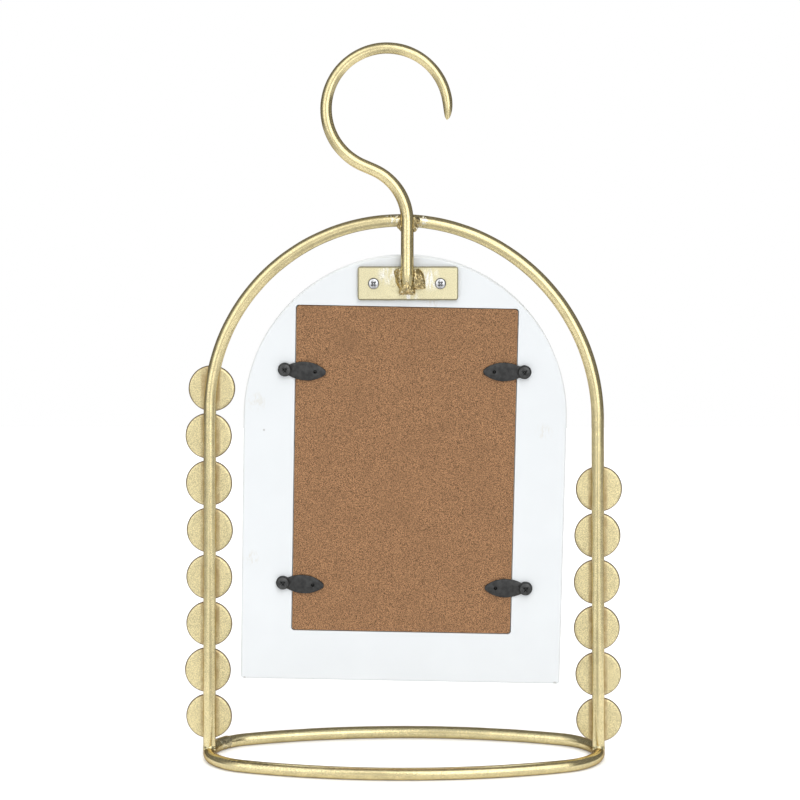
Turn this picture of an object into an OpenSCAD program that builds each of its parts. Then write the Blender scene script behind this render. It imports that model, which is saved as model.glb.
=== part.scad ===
// Picture frame on a gilt wire stand. A bent rod arch stands on an oval base
// ring, with a hanging hook above it and rows of plain discs on its legs. An
// arch-topped board hangs inside the arch from a small bracket, and holds the
// glass, a blank card and a hardboard back behind four turn buttons.
//
// Sizes are in millimetres. The floor is z = 0, the origin is the middle of
// the base ring, and +Y is the back of the picture. Left and right are as seen
// from the back, so +X is on the left.

/* [Board] */
// Width of the board
board_w = 152; // [146:0.5:170]
// Height of the board, up to the top of its round head
board_h = 203.5; // [196:0.5:230]
// Thickness of the board
board_t = 9; // [8:0.5:12]
// Radius of the board's two lower corners
board_corner_r = 1.6; // [1.3:0.1:3]
// Radius that softens the board's long edges
board_edge_r = 1; // [0.5:0.1:1.2]
// Tilt of the board on its screws, in degrees
board_tilt = 1.1; // [0:0.1:1.5]

/* [Rebate and window] */
// Width of the board's back on each side of the rebate
side_border = 23.8; // [21:0.1:28]
// Height of the board's back below the rebate
low_border = 23.85; // [21:0.05:30]
// Width of the board between the rebate's upper corners and the round head
head_border = 2.2; // [1.5:0.1:6]
// Radius of the rebate's corners
rebate_corner_r = 1.5; // [0.5:0.1:3]
// How far the front lip covers the glass on each side
lip_w = 5; // [3:0.5:8]
// Gap all round between the rebate and what lies in it
rebate_gap = 0.4; // [0.2:0.05:0.8]
// Thickness of the glass
glass_t = 2; // [1.5:0.1:2.5]
// Thickness of the blank card behind the glass
card_t = 0.4; // [0.2:0.1:0.8]
// Thickness of the hardboard back
backing_t = 3; // [2:0.1:3.5]

/* [Rod stand] */
// Diameter of the steel rod
rod_d = 6; // [5:0.25:7]
// How far the arch's left shoulder would clear a board hung in its middle
side_gap = 10.8; // [8:0.2:20]
// How much wider the right shoulder was bent, on its radius
shoulder_slack = 5.7; // [0.1:0.1:8]
// Slope from the arch's middle to where the wider bend starts, in degrees
shoulder_turn = 60; // [45:1:80]
// Free height between the base ring and the board
board_lift = 32.2; // [20:0.5:50]
// How far each foot stands outside the left shoulder's radius
leg_splay = 3.3; // [2:0.1:7]
// How far the middle of the left shoulder's bend stands to the left
arch_lean = 1.5; // [0:0.1:2]
// How deep each leg's end is cut to sit on the base ring
foot_cope = 1; // [0.5:0.1:1.5]
// Depth of the base ring, front to back, over its outsides
ring_depth = 82; // [70:1:110]
// Radius of the base ring's tight ends, to the middle of the rod
ring_end_r = 26; // [18:0.5:29]

/* [Hook] */
// Free width inside the hook's loop
hook_bore = 50.2; // [44:0.1:58]
// Radius of the bend between stem and loop, to the middle of the rod
hook_neck_r = 26; // [22:0.1:27]
// Slope of the straight stretch below the loop, in degrees
hook_slope = 23.5; // [21:0.1:29]
// How far the middle of the loop stands left of the stem
hook_offset = 9.4; // [6:0.1:12]
// How far the stem stands right of the middle
stem_shift = 1.5; // [0:0.1:3]
// How far above its middle the loop's end starts to taper, in degrees
hook_tip_rise = 14; // [6:1:30]
// How far the tapered tip runs on around the loop, in degrees
hook_tip_turn = 24; // [16:1:40]
// Height above the middle of the arch rod at which the stem starts to bend
neck_rise = 0.2; // [-2:0.1:6]

/* [Discs] */
// Diameter of each disc
disc_d = 22; // [16:0.5:23]
// Thickness of each disc
disc_t = 2; // [1.5:0.1:3]
// Radius of the disc's rounded rim
disc_edge_r = 0.9; // [0.2:0.05:0.95]
// Gap between neighbours in the left row
left_disc_gap = 0.65; // [0.3:0.05:3]
// Gap between neighbours in the right row
right_disc_gap = 0.45; // [0.3:0.05:3]
// Height of the left row's lowest rim above the base ring
left_row_lift = 3; // [1:0.1:8]
// Height of the right row's lowest rim above the base ring
right_row_lift = 1.2; // [1:0.1:8]
// How far the discs stray sideways from their rod at most
disc_stray = 1; // [0:0.1:2]

/* [Bracket] */
// Width of the bracket plate
plate_w = 47; // [42:0.5:60]
// Height of the bracket plate
plate_h = 15.8; // [13:0.1:17]
// Thickness of the bracket plate
plate_t = 2; // [1.5:0.1:2.5]
// Radius of the plate's corners
plate_corner_r = 1.5; // [1:0.1:3]
// Radius that softens the plate's edges
plate_edge_r = 0.5; // [0.2:0.05:0.6]
// Distance between the plate's two screws
plate_screw_pitch = 31.2; // [27:0.1:34]
// How far the screws' middle stands left of the plate's middle
plate_screw_stray = 0.4; // [0:0.1:1.5]
// Distance from the board's top down to the plate's screws
plate_drop = 12.7; // [11:0.1:16]
// Distance from the middle of the arch rod down to the plate's screws
arch_drop = 29.2; // [26:0.1:40]
// How far the plate's middle stands right of the middle
plate_shift = 1.8; // [0:0.1:3]
// How far the stem's cut end stands below the plate's screws
stem_end_drop = 2.5; // [0:0.1:4]
// Gap that the welds bridge between rod and rod or rod and plate
weld_gap = 0.1; // [0.05:0.05:0.2]

/* [Screws] */
// Diameter of the bracket screws' heads
screw_head_d = 5.2; // [4.4:0.1:5.6]
// Height of the screw heads
screw_head_h = 1.4; // [1.1:0.1:2]
// Diameter of the screw shanks
screw_shank_d = 2.6; // [2:0.1:3]
// Length of the shanks inside the board
screw_grip = 6; // [4:0.5:7]
// Width of the slots of the cross recess
recess_slot = 0.9; // [0.6:0.05:1]
// Length of the slots of the cross recess
recess_len = 2.9; // [2.2:0.1:3.2]
// Depth of the cross recess
recess_depth = 0.8; // [0.5:0.05:0.9]

/* [Turn buttons] */
// Length from the screw to the leaf's tip
button_len = 19.4; // [17.5:0.1:22]
// Greatest width of the leaf
button_w = 8.9; // [8:0.1:10.5]
// Distance from the screw to the widest place
button_waist = 9.8; // [9:0.1:11]
// Diameter of the round end under the screw
button_eye_d = 6.2; // [6:0.1:7]
// Diameter of the button screws' heads
button_head_d = 5.8; // [5.2:0.1:6]
// Thickness of the button
button_t = 1.2; // [0.8:0.1:1.6]
// Radius of the leaf's rounded tip
button_tip_r = 1.75; // [1.2:0.05:2]
// Distance from the screw to the small hole
button_hole_x = 14.2; // [12:0.1:15]
// Diameter of the small hole
button_hole_d = 1.2; // [0.8:0.1:1.6]
// Gap below and above the button, so that it turns
button_play = 0.15; // [0.1:0.01:0.3]
// Gap between the button's eye and the shank, on the radius
button_eye_gap = 0.1; // [0.05:0.01:0.1]
// Distance from the rebate's side out to the button screws
button_outset = 4; // [3.6:0.1:7]
// How far the button screws were set off their marks sideways at most
button_stray = 2.4; // [0:0.1:3]
// How far they were set below their marks at most
button_sag = 0.9; // [0:0.1:2]
// Distance from the rebate's top down to the upper button screws
upper_button_drop = 29.8; // [25:0.1:50]
// Distance from the rebate's bottom up to the lower button screws
lower_button_rise = 23.4; // [20:0.1:50]

/* [Hidden] */
$fn = 96;

gilt = "#d2c68e";
gilt_bright = "#e4dcae";
white_paint = "#eff3f6";
hardboard = "#9c7655";
black_steel = "#3a3b3c";
bright_steel = "#c9ccd0";

left = 1;
right = -1;
// Outward stray of each disc from the bottom up, as a share of the greatest
left_strays = [0.4, 1, 0.4, 0.4, 0.2, 0.6, 0.8, -0.2];
right_strays = [0.6, 0.3, -0.4, -0.3, 0, 0.8];
left_count = len(left_strays);
right_count = len(right_strays);
over = 1; // how far cutters run past a face
mark_rise = 0.01;
mark_len = 0.4;

rod_r = rod_d / 2;

// Base ring, an oval of four arcs with its rod lying on the floor
arch_r = board_w / 2 + side_gap + rod_r;
ring_a = arch_r + leg_splay;
ring_b = ring_depth / 2 - rod_r;
ring_side_r = ((ring_a - ring_end_r) ^ 2 + ring_b ^ 2 - ring_end_r ^ 2) / (2 * (ring_b - ring_end_r));
ring_end_angle = atan2(ring_side_r - ring_b, ring_a - ring_end_r);

// Heights, from the floor up
plate_z = rod_d + board_lift + board_h - plate_drop;
arch_top_z = plate_z + arch_drop;
arch_z = arch_top_z - arch_r;

// Hook, whose rod passes behind the arch
hook_y = rod_d + weld_gap;
stem_x = -stem_shift;
stem_end_z = plate_z - stem_end_drop;
loop_r = hook_bore / 2 + rod_r;
neck_z = arch_top_z + neck_rise;
neck_x = stem_x + hook_neck_r;
loop_x = stem_x + hook_offset;
loop_z = neck_z
    + (loop_r + hook_neck_r + (hook_offset - hook_neck_r) * sin(hook_slope)) / cos(hook_slope);
hook_straight = (hook_offset - hook_neck_r) * cos(hook_slope) + (loop_z - neck_z) * sin(hook_slope);
loop_start = hook_slope - 90;
loop_end = 180 - hook_tip_rise;
// Steps of the tapered tip, as shares of its turn and of the rod's radius
tip_steps = [[0, 1], [0.25, 0.94], [0.5, 0.78], [0.75, 0.54], [1, 0.24]];

// Board, whose own frame has its origin behind the middle of the plate
plate_x = -plate_shift;
plate_back_y = hook_y - rod_r - weld_gap;
board_back_y = plate_back_y - plate_t;
board_top_z = plate_drop;
board_low_z = plate_drop - board_h;
board_spring_z = plate_drop - board_w / 2;
rebate_w = board_w - 2 * side_border;
rebate_top_z = board_spring_z + sqrt((board_w / 2 - head_border) ^ 2 - (rebate_w / 2) ^ 2);
rebate_low_z = board_low_z + low_border;
rebate_h = rebate_top_z - rebate_low_z;
rebate_depth = glass_t + card_t + backing_t;
window_w = rebate_w - 2 * lip_w;
window_h = rebate_h - 2 * lip_w;

// Turn buttons
button_x = rebate_w / 2 + button_outset;
upper_button_z = rebate_top_z - upper_button_drop;
lower_button_z = rebate_low_z + lower_button_rise;
// Side, height and outward stray of each button, and its slack turn in degrees
upper_left = [left, upper_button_z - button_sag, 0.3 * button_stray, -3.2];
upper_right = [right, upper_button_z, -0.3 * button_stray, 0.4];
lower_left = [left, lower_button_z - 0.3 * button_sag, 0.1 * button_stray, -3.2];
lower_right = [right, lower_button_z - button_sag, button_stray, 0.3];
buttons = [upper_left, upper_right, lower_left, lower_right];
// Radii of the leaf's long edges before and after its widest place
button_root_r = 2 * button_w;
button_nose_r = button_w * 13 / 9;

// Points and distances along the bent arch

function foot(side) = [side * ring_a, rod_r];

// Radius and middle of each shoulder's bend. The wider one runs on from the
// other without a kink.
function bend_r(side) = side == right ? arch_r + shoulder_slack : arch_r;
function bend_middle(side) =
    [arch_lean, arch_z]
    + (side == right ? shoulder_slack * [cos(shoulder_turn), -sin(shoulder_turn)] : [0, 0]);
function foot_reach(side) = norm(foot(side) - bend_middle(side));
function leg_length(side) = sqrt(foot_reach(side) ^ 2 - bend_r(side) ^ 2);

// Angle on its shoulder's circle at which a leg runs off it
function leg_angle(side) =
    let (v = foot(side) - bend_middle(side))
    atan2(v.y, v.x) + side * acos(bend_r(side) / foot_reach(side)) + (side == right ? 360 : 0);

function leg_top(side) =
    bend_middle(side) + bend_r(side) * [cos(leg_angle(side)), sin(leg_angle(side))];

// Sideways place of the rod's middle at a height, on the leg or on its shoulder
function rod_x(side, z) =
    z > leg_top(side).y
    ? bend_middle(side).x + side * sqrt(bend_r(side) ^ 2 - (z - bend_middle(side).y) ^ 2)
    : foot(side).x + (leg_top(side).x - foot(side).x) * (z - foot(side).y)
        / (leg_top(side).y - foot(side).y);

function disc_z(lift, gap, i) = rod_d + lift + disc_d / 2 + i * (disc_d + gap);

// General shapes

// Rectangle with its middle at the origin and round corners
module round_rect(w, h, r) {
    square([w - 2 * r, h], center = true);
    square([w, h - 2 * r], center = true);
    for (sx = [-1, 1])
        for (sy = [-1, 1])
            translate([sx * (w / 2 - r), sy * (h / 2 - r)]) circle(r);
}

// Upright slab in the XZ plane, its back face at y = 0
module slab(w, h, t, r) {
    rotate([90, 0, 0]) linear_extrude(t) round_rect(w, h, r);
}

// Slab whose corners have one radius and whose long edges are softened by another
module soft_slab(w, h, t, corner_r, edge_r) {
    intersection() {
        slab(w, h, t, corner_r);
        translate([0, -t / 2, -h / 2]) linear_extrude(h) round_rect(w, t, edge_r);
        translate([-w / 2, -t / 2, 0]) rotate([90, 0, 90]) linear_extrude(w) round_rect(t, h, edge_r);
    }
}

// Round bar bent about the Z axis, flat in the XY plane
module flat_bend(r, from, to) {
    rotate_extrude(angle = to - from, start = from) translate([r, 0]) circle(rod_r);
}

// The same bend, upright in the XZ plane
module bent_rod(r, from, to) {
    rotate([90, 0, 0]) flat_bend(r, from, to);
}

// Faint ring that the bending tool leaves round the rod where a bend starts.
// It also seals the seam between one stretch of the rod and the next.
module bend_mark() {
    cylinder(r = rod_r + mark_rise, h = mark_len, center = true);
}

// Bend mark on an upright bend about the origin, at an angle on it
module upright_mark(r, angle) {
    rotate([0, -angle, 0]) translate([r, 0, 0]) bend_mark();
}

// Half section of a flat round plate with a rounded rim
module rim_section(r, t, edge_r) {
    square([r - edge_r, t]);
    translate([0, edge_r]) square([r, t - 2 * edge_r]);
    translate([r - edge_r, edge_r]) circle(edge_r);
    translate([r - edge_r, t - edge_r]) circle(edge_r);
}

// Screw with a domed cross-recess head. It points along -Y, its head's seat is
// at y = 0, and its shank ends at the given depth.
module cross_screw(head_d, depth) {
    dome_r = head_d;
    point_len = screw_shank_d / 2;
    rotate([-90, 0, 0]) {
        difference() {
            intersection() {
                cylinder(d = head_d, h = screw_head_h);
                translate([0, 0, screw_head_h - dome_r]) sphere(dome_r);
            }
            for (turn = [45, 135])
                rotate([0, 0, turn])
                    translate([-recess_len / 2, -recess_slot / 2, screw_head_h - recess_depth])
                        cube([recess_len, recess_slot, recess_depth + over]);
        }
        translate([0, 0, point_len - depth]) cylinder(d = screw_shank_d, h = depth - point_len);
        translate([0, 0, -depth]) cylinder(r1 = 0.2, d2 = screw_shank_d, h = point_len);
    }
}

// Places

// Puts the board's own frame where the tilted board hangs
module at_board() {
    translate([plate_x, board_back_y, plate_z]) rotate([0, -board_tilt, 0]) children();
}

// Both places of the plate's screws, upright, on the board's back face
module at_plate_screw(side) {
    translate([plate_x + plate_screw_stray + side * plate_screw_pitch / 2, board_back_y, plate_z])
        children();
}

// A turn button's screw, on the board's back face. Each button is given by
// its side, its height on the board and how far it strays outward.
module at_button(button) {
    at_board() translate([button[0] * (button_x + button[2]), 0, button[1]]) children();
}

// Rod stand

// Puts a tight end of the base ring in place, bent about the origin
module at_ring_end(side) {
    translate([side * (ring_a - ring_end_r), 0, rod_r]) rotate([0, 0, side == left ? 0 : 180])
        children();
}

module ring_end(side) {
    at_ring_end(side) flat_bend(ring_end_r, -ring_end_angle, ring_end_angle);
}

module base_ring() {
    color(gilt) {
        for (side = [left, right]) {
            ring_end(side);
            at_ring_end(side)
                for (turn = [-ring_end_angle, ring_end_angle])
                    rotate([0, 0, turn]) translate([ring_end_r, 0, 0]) rotate([90, 0, 0]) bend_mark();
            rotate([0, 0, side == left ? 0 : 180]) translate([0, ring_b - ring_side_r, rod_r])
                flat_bend(ring_side_r, ring_end_angle, 180 - ring_end_angle);
        }
    }
}

// Straight stretch of a leg, before its end is cut to sit on the ring
module leg_bar(side) {
    top = leg_top(side);
    lean = leg_angle(side) - (side == left ? 0 : 180);
    length = leg_length(side) - rod_r + foot_cope;
    translate([top.x, 0, top.y]) rotate([0, -lean, 0])
        translate([0, 0, -length]) cylinder(r = rod_r, h = length);
}

module leg(side) {
    difference() {
        leg_bar(side);
        ring_end(side);
    }
}

module at_bend(side) {
    translate([bend_middle(side).x, 0, bend_middle(side).y]) children();
}

// The arch's round part, its two bends run into each other
module arch_bends() {
    at_bend(left) bent_rod(arch_r, leg_angle(left), 180 - shoulder_turn);
    at_bend(right) bent_rod(bend_r(right), 180 - shoulder_turn, leg_angle(right));
    at_bend(left) upright_mark(arch_r, 180 - shoulder_turn);
}

module arch_rod() {
    color(gilt) {
        arch_bends();
        for (side = [left, right]) {
            at_bend(side) upright_mark(bend_r(side), leg_angle(side));
            leg(side);
        }
    }
}

// End of the hook, ground to a taper that follows the loop to a small round
// nose. The loop's middle is at the origin, and the tip runs down from +X.
module hook_tip() {
    for (i = [0 : len(tip_steps) - 1]) {
        from = hook_tip_rise - tip_steps[i][0] * hook_tip_turn;
        r = tip_steps[i][1] * rod_r;
        translate(loop_r * [cos(from), 0, sin(from)]) {
            sphere(r + mark_rise);
            if (i < len(tip_steps) - 1) {
                turn = (tip_steps[i + 1][0] - tip_steps[i][0]) * hook_tip_turn;
                rotate([0, 180 - from + turn / 2, 0])
                    cylinder(r1 = r, r2 = tip_steps[i + 1][1] * rod_r, h = 2 * loop_r * sin(turn / 2));
            }
        }
    }
}

module stem() {
    translate([stem_x, hook_y, stem_end_z]) cylinder(r = rod_r, h = neck_z - stem_end_z);
}

module hook_rod() {
    color(gilt) {
        stem();
        translate([neck_x, hook_y, neck_z]) {
            bent_rod(hook_neck_r, 90 + hook_slope, 180);
            upright_mark(hook_neck_r, 180);
            upright_mark(hook_neck_r, 90 + hook_slope);
            rotate([0, -90 - hook_slope, 0]) translate([hook_neck_r, 0, -hook_straight])
                cylinder(r = rod_r, h = hook_straight);
        }
        translate([loop_x, hook_y, loop_z]) {
            bent_rod(loop_r, loop_start, loop_end);
            upright_mark(loop_r, loop_start);
            mirror([1, 0, 0]) hook_tip();
        }
    }
}

// Disc number i of a row, from the bottom up, on the front of its leg
module disc(side, i) {
    z = side == left ? disc_z(left_row_lift, left_disc_gap, i) : disc_z(right_row_lift, right_disc_gap, i);
    stray = disc_stray * (side == left ? left_strays[i] : right_strays[i]);
    color(gilt) translate([rod_x(side, z) + side * stray, -rod_r, z])
        rotate([90, 0, 0]) rotate_extrude() rim_section(disc_d / 2, disc_t, disc_edge_r);
}

// Welds, each run against the rods that it joins

module lump(x, y, z, r) {
    translate([x, y, z]) sphere(r, $fn = 20);
}

module hook_arch_weld() {
    color(gilt) difference() {
        translate([stem_x, 0, arch_top_z]) {
            hull() {
                lump(0.5 * rod_d, 0.6 * rod_d, -0.2 * rod_d, 1.6);
                lump(0.8 * rod_d, 0.35 * rod_d, 0, 1.2);
                lump(0.45 * rod_d, 0.5 * rod_d, -0.75 * rod_d, 1.2);
            }
            hull() {
                lump(-0.5 * rod_d, 0.65 * rod_d, 0, 1.9);
                lump(-0.9 * rod_d, 0.35 * rod_d, 0, 1.3);
                lump(-0.5 * rod_d, 0.5 * rod_d, -0.75 * rod_d, 1.1);
            }
            hull() {
                lump(0.4 * rod_d, 0.5 * rod_d, -0.2 * rod_d, 1.5);
                lump(-0.4 * rod_d, 0.5 * rod_d, -0.2 * rod_d, 1.5);
            }
        }
        arch_bends();
        stem();
        translate([neck_x, hook_y, neck_z]) bent_rod(hook_neck_r, 90 + hook_slope, 180);
    }
}

module hook_plate_weld() {
    top = plate_h / 2 - 1.8;
    low = -stem_end_drop;
    color(gilt) difference() {
        intersection() {
            translate([stem_x, plate_back_y, plate_z]) {
                hull() {
                    lump(0.85 * rod_d, 0.6, low, 1.2);
                    lump(0.8 * rod_d, 0.8, top, 1.2);
                    lump(0.4 * rod_d, 0.55 * rod_d, low + 1, 1.6);
                    lump(0.4 * rod_d, 0.55 * rod_d, top, 1.6);
                }
                hull() {
                    lump(-1.25 * rod_d, 0.8, low, 1.3);
                    lump(-1.05 * rod_d, 1.2, top, 1.3);
                    lump(-0.45 * rod_d, 0.65 * rod_d, low + 0.5, 1.7);
                    lump(-0.45 * rod_d, 0.65 * rod_d, top, 1.7);
                }
                hull() {
                    lump(0.45 * rod_d, 0.5, low - 2.2, 0.9);
                    lump(-0.6 * rod_d, 0.5, low - 2.2, 0.9);
                    lump(0, 0.7 * rod_d, low + 0.6, 1.7);
                }
            }
            translate([stem_x - plate_w / 2, plate_back_y, plate_z - plate_h / 2])
                cube([plate_w, 2 * rod_d, plate_h]);
        }
        stem();
    }
}

// Bead where a leg stands on the ring, thickest at the back and clear of the
// disc on the leg's front
module foot_weld(side, bulge) {
    color(gilt) difference() {
        translate([foot(side).x, 0.12 * rod_d, 0.95 * rod_d]) sphere(rod_r + bulge);
        leg_bar(side);
        ring_end(side);
    }
}

// Crescent of weld over the place where the ring's own ends meet
module ring_joint_weld() {
    bead_r = rod_r * 1.1;
    bead_z = rod_r * 1.2;
    color(gilt) difference() {
        translate([ring_a - ring_end_r, 0, bead_z]) rotate_extrude(angle = 20, start = -48)
            translate([ring_end_r, 0]) circle(bead_r);
        ring_end(left);
    }
}

// Bracket

module bracket_plate() {
    color(gilt_bright) difference() {
        translate([plate_x, plate_back_y, plate_z])
            soft_slab(plate_w, plate_h, plate_t, plate_corner_r, plate_edge_r);
        for (side = [left, right])
            at_plate_screw(side) rotate([90, 0, 0])
                cylinder(d = screw_shank_d, h = 4 * plate_t, center = true);
    }
}

module bracket_screw(side) {
    color(bright_steel) at_plate_screw(side) translate([0, plate_t, 0])
        cross_screw(screw_head_d, screw_grip + plate_t);
}

// Board and what lies in it

// Arch-topped board without its openings, in its own frame
module board_blank() {
    skirt_h = board_spring_z - board_low_z;
    translate([0, 0, board_spring_z]) rotate([90, 0, 0])
        rotate_extrude(angle = 180) rim_section(board_w / 2, board_t, board_edge_r);
    intersection() {
        translate([0, 0, board_spring_z])
            soft_slab(board_w, 2 * skirt_h, board_t, board_corner_r, board_edge_r);
        translate([-board_w, -2 * board_t, board_low_z - over])
            cube([2 * board_w, 3 * board_t, skirt_h + over]);
    }
}

module rebate_middle() {
    translate([0, 0, rebate_top_z - rebate_h / 2]) children();
}

module screw_hole() {
    rotate([90, 0, 0]) cylinder(d = screw_shank_d, h = screw_grip);
}

module board() {
    color(white_paint) difference() {
        at_board() difference() {
            board_blank();
            rebate_middle() {
                translate([0, over, 0]) slab(rebate_w, rebate_h, rebate_depth + over, rebate_corner_r);
                translate([0, over, 0]) slab(window_w, window_h, board_t + 2 * over, rebate_corner_r);
            }
        }
        for (side = [left, right])
            at_plate_screw(side) screw_hole();
        for (button = buttons)
            at_button(button) screw_hole();
    }
}

// Sheet that lies in the rebate, with its back face at the given depth
module rebate_sheet(depth, t) {
    at_board() rebate_middle() translate([0, -depth, 0])
        slab(rebate_w - 2 * rebate_gap, rebate_h - 2 * rebate_gap, t, rebate_corner_r);
}

module glass_pane() {
    color("#cfe3e0", 0.4) rebate_sheet(backing_t + card_t, glass_t);
}

module blank_card() {
    color("#f3f1ea") rebate_sheet(backing_t, card_t);
}

module backing_board() {
    color(hardboard) rebate_sheet(0, backing_t);
}

// Turn buttons

// Leaf outline that points along +X from its eye
module button_outline() {
    tip_x = button_len - button_tip_r;
    half_w = button_w / 2;
    circle(d = button_eye_d);
    intersection() {
        translate([button_waist, button_root_r - half_w]) circle(button_root_r, $fn = 180);
        translate([button_waist, half_w - button_root_r]) circle(button_root_r, $fn = 180);
        translate([0, -half_w]) square([button_waist, button_w]);
    }
    intersection() {
        translate([button_waist, button_nose_r - half_w]) circle(button_nose_r, $fn = 180);
        translate([button_waist, half_w - button_nose_r]) circle(button_nose_r, $fn = 180);
        translate([button_waist, -half_w]) square([tip_x + 0.3 * button_tip_r - button_waist, button_w]);
    }
    translate([tip_x, 0]) circle(button_tip_r);
}

module turn_button(button) {
    color(black_steel) at_button(button) rotate([0, (button[0] == left ? 180 : 0) + button[3], 0])
        translate([0, button_play, 0]) rotate([-90, 0, 0]) difference() {
            linear_extrude(button_t) button_outline();
            translate([0, 0, -over])
                cylinder(r = screw_shank_d / 2 + button_eye_gap, h = button_t + 2 * over);
            translate([button_hole_x, 0, -over]) cylinder(d = button_hole_d, h = button_t + 2 * over);
        }
}

module button_screw(button) {
    seat = button_t + 2 * button_play;
    color(black_steel) at_button(button) translate([0, seat, 0])
        cross_screw(button_head_d, screw_grip + seat);
}

arch_rod();
base_ring();
hook_rod();
bracket_plate();
for (i = [0 : left_count - 1])
    disc(left, i);
for (i = [0 : right_count - 1])
    disc(right, i);
hook_arch_weld();
hook_plate_weld();
foot_weld(left, 0.55);  // left_foot_weld
foot_weld(right, 0.45);  // right_foot_weld
ring_joint_weld();
board();
glass_pane();
blank_card();
backing_board();
bracket_screw(left);  // left_bracket_screw
bracket_screw(right);  // right_bracket_screw
turn_button(upper_left);  // upper_left_turn_button
turn_button(upper_right);  // upper_right_turn_button
turn_button(lower_left);  // lower_left_turn_button
turn_button(lower_right);  // lower_right_turn_button
button_screw(upper_left);  // upper_left_button_screw
button_screw(upper_right);  // upper_right_button_screw
button_screw(lower_left);  // lower_left_button_screw
button_screw(lower_right);  // lower_right_button_screw
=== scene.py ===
"""Finishes the gilt wire picture frame: its bent rods, pressed discs, weld beads,
screws, turn buttons and paints, and the plain studio that it stands in."""

from math import cos, pi, radians, sin, sqrt

import bmesh
import bpy
from bpy.props import FloatProperty, FloatVectorProperty, PointerProperty
from mathutils import Matrix, Vector, noise


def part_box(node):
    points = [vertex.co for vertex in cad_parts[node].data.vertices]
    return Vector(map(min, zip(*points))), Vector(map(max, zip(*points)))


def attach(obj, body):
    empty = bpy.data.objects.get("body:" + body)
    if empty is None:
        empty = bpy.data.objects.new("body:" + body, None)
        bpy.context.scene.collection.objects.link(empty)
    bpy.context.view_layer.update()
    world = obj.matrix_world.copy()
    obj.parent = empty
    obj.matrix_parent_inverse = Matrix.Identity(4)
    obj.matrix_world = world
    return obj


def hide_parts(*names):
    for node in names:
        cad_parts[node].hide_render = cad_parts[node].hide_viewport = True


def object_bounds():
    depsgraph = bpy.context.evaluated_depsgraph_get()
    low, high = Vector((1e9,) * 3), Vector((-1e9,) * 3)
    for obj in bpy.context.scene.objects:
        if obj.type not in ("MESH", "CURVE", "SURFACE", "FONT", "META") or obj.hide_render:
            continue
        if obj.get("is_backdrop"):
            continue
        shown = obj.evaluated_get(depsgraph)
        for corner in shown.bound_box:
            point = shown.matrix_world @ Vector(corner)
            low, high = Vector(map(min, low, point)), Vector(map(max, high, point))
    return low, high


bl_info = {
    "name": "Wire Picture Frame Finish",
    "version": (1, 0, 0),
    "blender": (4, 5, 0),
    "location": "View3D > Sidebar > Picture Frame",
    "description": "Paints, welds, screws and studio of a gilt wire picture frame",
    "category": "Object",
}

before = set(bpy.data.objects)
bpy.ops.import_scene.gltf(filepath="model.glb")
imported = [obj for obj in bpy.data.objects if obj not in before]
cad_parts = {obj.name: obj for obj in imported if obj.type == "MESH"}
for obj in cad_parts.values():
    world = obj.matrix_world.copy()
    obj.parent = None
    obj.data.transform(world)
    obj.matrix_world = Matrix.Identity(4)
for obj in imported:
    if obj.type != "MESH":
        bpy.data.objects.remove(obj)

MM = 0.001
SIDES = ("left", "right")

# In mm: where each leg's foot stands to its side of the middle, where the hook's stem stands,
# and the height of the middle of the base ring's rod
FOOT, STEM, BASE = 93.1, -1.5, 3

# The bend at the base ring's left end: its middle's place and its radius, in mm
RING_END = (67.1, 0, 26)

# Edges sharper than this stay sharp, and a rod has this many faces round it
SHARP, ROD_FACES = radians(32), 40

# A turn that takes Z to +Y, the side with the screws
FACING = Matrix.Rotation(-pi / 2, 4, "X")


# Shader maths

# The sockets of a Mix node that mixes colours
MIX_AMOUNT, MIX_A, MIX_B, MIX_RESULT = 0, 6, 7, 2


class Signal:
    """A value that varies over a surface. Sums and products of signals add Math nodes."""

    def __init__(self, tree, socket):
        self.tree, self.socket = tree, socket

    def math(self, operation, *values):
        return self.tree.add("ShaderNodeMath", {"operation": operation}, *values)

    def __add__(self, other):
        return self.math("ADD", self, other)

    def __sub__(self, other):
        return self.math("SUBTRACT", self, other)

    def __rsub__(self, other):
        return self.math("SUBTRACT", other, self)

    def __mul__(self, other):
        return self.math("MULTIPLY", self, other)

    __radd__ = __add__
    __rmul__ = __mul__


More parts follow.
